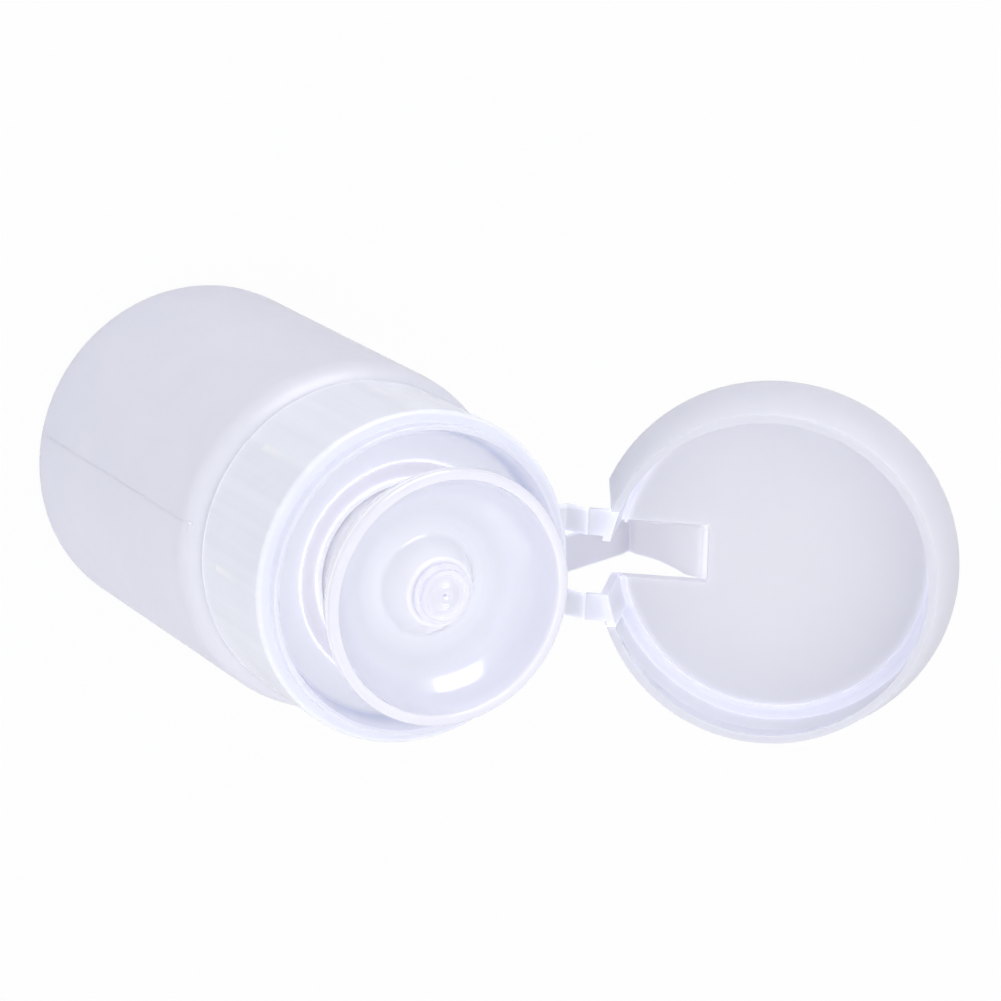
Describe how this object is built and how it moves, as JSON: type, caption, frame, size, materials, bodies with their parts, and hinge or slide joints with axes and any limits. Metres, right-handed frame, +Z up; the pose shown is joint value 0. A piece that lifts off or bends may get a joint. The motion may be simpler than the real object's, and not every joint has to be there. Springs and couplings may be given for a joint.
{
  "type": "push-down nail polish remover dispenser bottle",
  "caption": "Translucent round bottle with a screwed collar, a sprung press dish that pumps remover up through a centre nozzle, and a snap-open flip lid.",
  "frame": {"origin": "centre of the bottle's base, on the surface that it stands on", "axes": "+Z up along the bottle, +Y towards the lid's hinge"},
  "size_m": [0.0614, 0.1162, 0.1301],
  "materials": {
    "frosted_bottle": "frosted translucent polyethylene, fine matt",
    "clear_polypropylene": "natural translucent polypropylene, smooth",
    "milky_polypropylene": "milky translucent polypropylene, smooth",
    "white_polyethylene": "natural white polyethylene",
    "gasket_foam": "white closed-cell polyethylene foam",
    "steel": "stainless steel, bright"
  },
  "bodies": {
    "bottle": {"bottle": "frosted_bottle"},
    "pump_insert": {"neck_gasket": "gasket_foam", "pump_cylinder": "clear_polypropylene", "inlet_ball_cage": "white_polyethylene", "dip_tube": "white_polyethylene", "lock_ring": "white_polyethylene", "return_spring": "steel"},
    "collar": {"screw_collar": "clear_polypropylene", "hinge_strap_left": "clear_polypropylene", "hinge_strap_right": "clear_polypropylene"},
    "lid": {"flip_lid": "milky_polypropylene"},
    "band_lower": {"snap_band_lower": "clear_polypropylene"},
    "band_upper": {"snap_band_upper": "clear_polypropylene"},
    "press_head": {"press_dish": "milky_polypropylene", "nozzle_button": "clear_polypropylene", "piston_stem": "clear_polypropylene", "piston_seal": "white_polyethylene"},
    "inlet_valve": {"inlet_ball": "steel"},
    "outlet_valve": {"outlet_ball": "steel"}
  },
  "joints": [
    {"name": "pump_lift", "type": "slide", "parent": "bottle", "child": "pump_insert", "axis": [0, 0, 1], "range_m": [0, 0.0038]},
    {"name": "collar_unscrew", "type": "hinge", "parent": "pump_insert", "child": "collar", "pos_m": [0, 0, 0.08], "axis": [0, 0, 1], "range_deg": [0, 340]},
    {"name": "dish_press", "type": "slide", "parent": "pump_insert", "child": "press_head", "axis": [0, 0, -1], "range_m": [0, 0.006], "stiffness_N_per_m": 900, "springref_m": -0.003, "deforming": ["return_spring"]},
    {"name": "inlet_ball_lift", "type": "slide", "parent": "pump_insert", "child": "inlet_valve", "axis": [0, 0, 1], "range_m": [0, 0.001]},
    {"name": "outlet_ball_lift", "type": "slide", "parent": "press_head", "child": "outlet_valve", "axis": [0, 0, 1], "range_m": [0, 0.0012]},
    {"name": "lid_hinge", "type": "hinge", "parent": "collar", "child": "lid", "pos_m": [0, 0.03015, 0.09445], "axis": [1, 0, 0], "range_deg": [0, 144.26]},
    {"name": "band_lower_hinge", "type": "hinge", "parent": "collar", "child": "band_lower", "pos_m": [0, 0.0289, 0.088], "axis": [1, 0, 0], "range_deg": [0, 117.3]},
    {"name": "band_upper_hinge", "type": "hinge", "parent": "lid", "child": "band_upper", "pos_m": [0, 0.05221, 0.09505], "axis": [1, 0, 0], "range_deg": [-31.8, 0]}
  ],
  "couplings": [
    {"joint": "pump_lift", "follows": "collar_unscrew", "m_per_rad": 0.00063662},
    {"joint": "band_lower_hinge", "follows": "lid_hinge", "ratio": 0.81272},
    {"joint": "band_upper_hinge", "follows": "lid_hinge", "ratio": -0.22013}
  ]
}
